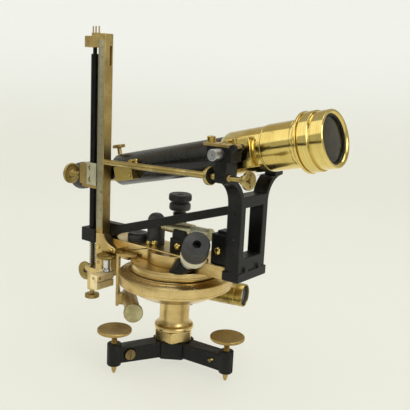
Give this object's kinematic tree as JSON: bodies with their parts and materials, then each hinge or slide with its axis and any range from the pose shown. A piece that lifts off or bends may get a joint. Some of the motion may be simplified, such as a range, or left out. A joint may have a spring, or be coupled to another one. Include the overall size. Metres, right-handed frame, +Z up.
{
  "type": "tacheometer",
  "caption": "Brass and black-japanned slope-reading tacheometer: levelling base, divided limb, lyre portal with tilting telescope and an upright slope rule.",
  "frame": {"origin": "on the vertical axis of rotation, level with the tips of the three foot screws", "axes": "+X from the vertical axis towards the portal that carries the telescope's trunnions, +Z up the vertical axis, +Y completes the right-handed frame: the far trunnion's side"},
  "size_m": [0.3344, 0.1569, 0.3515],
  "materials": {
    "turned_brass": "satin, turned",
    "bright_brass": "polished, lacquered",
    "aged_brass": "satin, darkened lacquer",
    "black_japan": "semi-gloss black japan, worn on edges",
    "ebonite": "satin ebonite",
    "steel": "grey, lightly worn",
    "silvered": "silvered, matt",
    "lens_glass": "clear, dark inside",
    "vial_glass": "clear with yellowed spirit"
  },
  "bodies": {
    "base": {"tribrach": "black_japan", "socket": "turned_brass", "tension_screw_left": "turned_brass", "tension_screw_right": "turned_brass", "tension_screw_rear": "turned_brass"},
    "foot_left": {"foot_screw_left": "turned_brass"},
    "foot_right": {"foot_screw_right": "turned_brass"},
    "foot_rear": {"foot_screw_rear": "turned_brass"},
    "limb": {"limb": "turned_brass"},
    "alidade": {"alidade_plate": "turned_brass", "cross_bar": "turned_brass", "portal_frame": "black_japan", "portal_block": "black_japan", "bearing_near": "black_japan", "bearing_far": "black_japan", "brace_beam": "black_japan", "column": "aged_brass", "column_foot": "turned_brass", "column_top": "aged_brass", "rod_spring": "steel", "rod_bracket": "turned_brass", "clamp_jaws": "turned_brass", "tangent_bracket": "aged_brass", "stay_rod": "aged_brass", "barrel_strap": "aged_brass", "tangent_barrel": "aged_brass", "compass_strap_left": "aged_brass", "compass_strap_right": "aged_brass", "compass_tube": "aged_brass", "level_tube": "vial_glass", "level_bracket": "black_japan", "axis_boss": "black_japan", "domed_post": "black_japan", "front_microscope": "black_japan", "rear_microscope": "black_japan"},
    "telescope": {"main_tube": "black_japan", "brass_sleeve": "bright_brass", "trunnion_pin_near": "steel", "trunnion_pin_far": "steel", "objective_tube": "bright_brass", "objective_ring": "bright_brass", "objective_glass": "lens_glass", "side_box": "aged_brass", "eyepiece_tube": "aged_brass"},
    "ocular": {"eyecup": "ebonite"},
    "focus": {"focus_knob": "aged_brass"},
    "rod": {"slope_rod": "black_japan"},
    "slider": {"carriage": "aged_brass", "vernier_plate": "silvered"},
    "slider_clamp": {"carriage_knob": "aged_brass"},
    "rod_screw": {"rod_thumb_screw": "aged_brass"},
    "jaw_clamp": {"clamp_screw": "turned_brass"},
    "fine_screw": {"tangent_screw": "aged_brass"},
    "stay_nut": {"capstan_nut": "aged_brass"},
    "stay_lock": {"lock_nut": "aged_brass"},
    "barrel_head": {"barrel_knob": "turned_brass"},
    "cap_near": {"cap_near": "aged_brass"},
    "cap_far": {"cap_far": "aged_brass"},
    "front_eye": {"front_eyecup": "ebonite"},
    "rear_eye": {"rear_eyecup": "ebonite"}
  },
  "joints": [
    {"name": "foot_left_turn", "type": "hinge", "parent": "base", "child": "foot_left", "pos_m": [-0.02861, -0.06025, 0.045], "axis": [0, 0, 1], "continuous": true},
    {"name": "foot_right_turn", "type": "hinge", "parent": "base", "child": "foot_right", "pos_m": [0.06649, 0.00535, 0.045], "axis": [0, 0, 1], "continuous": true},
    {"name": "foot_rear_turn", "type": "hinge", "parent": "base", "child": "foot_rear", "pos_m": [-0.03787, 0.0549, 0.045], "axis": [0, 0, 1], "continuous": true},
    {"name": "limb_turn", "type": "hinge", "parent": "base", "child": "limb", "pos_m": [0, 0, 0.09], "axis": [0, 0, 1], "continuous": true},
    {"name": "alidade_turn", "type": "hinge", "parent": "limb", "child": "alidade", "pos_m": [0, 0, 0.11], "axis": [0, 0, 1], "continuous": true},
    {"name": "telescope_tilt", "type": "hinge", "parent": "alidade", "child": "telescope", "pos_m": [0.0852, 0, 0.2395], "axis": [0, -1, 0], "range_deg": [-32.9, 7.1]},
    {"name": "rod_shift", "type": "slide", "parent": "alidade", "child": "rod", "axis": [0, 0, 1], "range_m": [-0.0015, 0.0015], "deforming": ["rod_spring"]},
    {"name": "slider_slide", "type": "slide", "parent": "rod", "child": "slider", "axis": [0, 0, 1], "range_m": [-0.0245, 0.1115]},
    {"name": "ocular_slide", "type": "slide", "parent": "telescope", "child": "ocular", "axis": [-0.9748, 0, -0.2233], "range_m": [-0.005, 0.005]},
    {"name": "focus_turn", "type": "hinge", "parent": "telescope", "child": "focus", "pos_m": [-0.08722, 0, 0.22053], "axis": [-0.2233, 0, 0.9748], "range_deg": [-180, 180]},
    {"name": "slider_clamp_turn", "type": "hinge", "parent": "slider", "child": "slider_clamp", "pos_m": [-0.12, -0.028, 0.1931], "axis": [1, 0, 0], "range_deg": [-180, 180]},
    {"name": "rod_screw_turn", "type": "hinge", "parent": "alidade", "child": "rod_screw", "pos_m": [-0.101, -0.02525, 0.06], "axis": [0, 0, 1], "range_deg": [-180, 180]},
    {"name": "jaw_clamp_turn", "type": "hinge", "parent": "alidade", "child": "jaw_clamp", "pos_m": [-0.067, -0.0356, 0.1], "axis": [0, 0, 1], "range_deg": [-180, 180]},
    {"name": "fine_screw_turn", "type": "hinge", "parent": "alidade", "child": "fine_screw", "pos_m": [-0.118, -0.01, 0.0818], "axis": [0, 1, 0], "continuous": true},
    {"name": "stay_nut_turn", "type": "hinge", "parent": "alidade", "child": "stay_nut", "pos_m": [0.11321, -0.04818, 0.21989], "axis": [0.9934, -0.1063, 0.0431], "range_deg": [-90, 90]},
    {"name": "stay_lock_turn", "type": "hinge", "parent": "alidade", "child": "stay_lock", "pos_m": [0.07129, -0.04369, 0.21807], "axis": [0.9934, -0.1063, 0.0431], "range_deg": [-90, 90]},
    {"name": "barrel_head_turn", "type": "hinge", "parent": "alidade", "child": "barrel_head", "pos_m": [-0.0058, -0.057, 0.07], "axis": [-0.7581, 0.6521, 0], "continuous": true},
    {"name": "cap_near_open", "type": "hinge", "parent": "alidade", "child": "cap_near", "pos_m": [0.0985, -0.0423, 0.2463], "axis": [0, 1, 0], "range_deg": [0, 95]},
    {"name": "cap_far_open", "type": "hinge", "parent": "alidade", "child": "cap_far", "pos_m": [0.0985, 0.0423, 0.2463], "axis": [0, 1, 0], "range_deg": [0, 95]},
    {"name": "front_eye_draw", "type": "slide", "parent": "alidade", "child": "front_eye", "axis": [0.5572, -0.5572, 0.6157], "range_m": [0, 0.003]},
    {"name": "rear_eye_draw", "type": "slide", "parent": "alidade", "child": "rear_eye", "axis": [0, 0, 1], "range_m": [0, 0.003]}
  ],
  "couplings": [
    {"joint": "slider_slide", "follows": "telescope_tilt", "m_per_rad": -0.1927},
    {"joint": "focus_turn", "follows": "ocular_slide", "rad_per_m": 628.3}
  ]
}
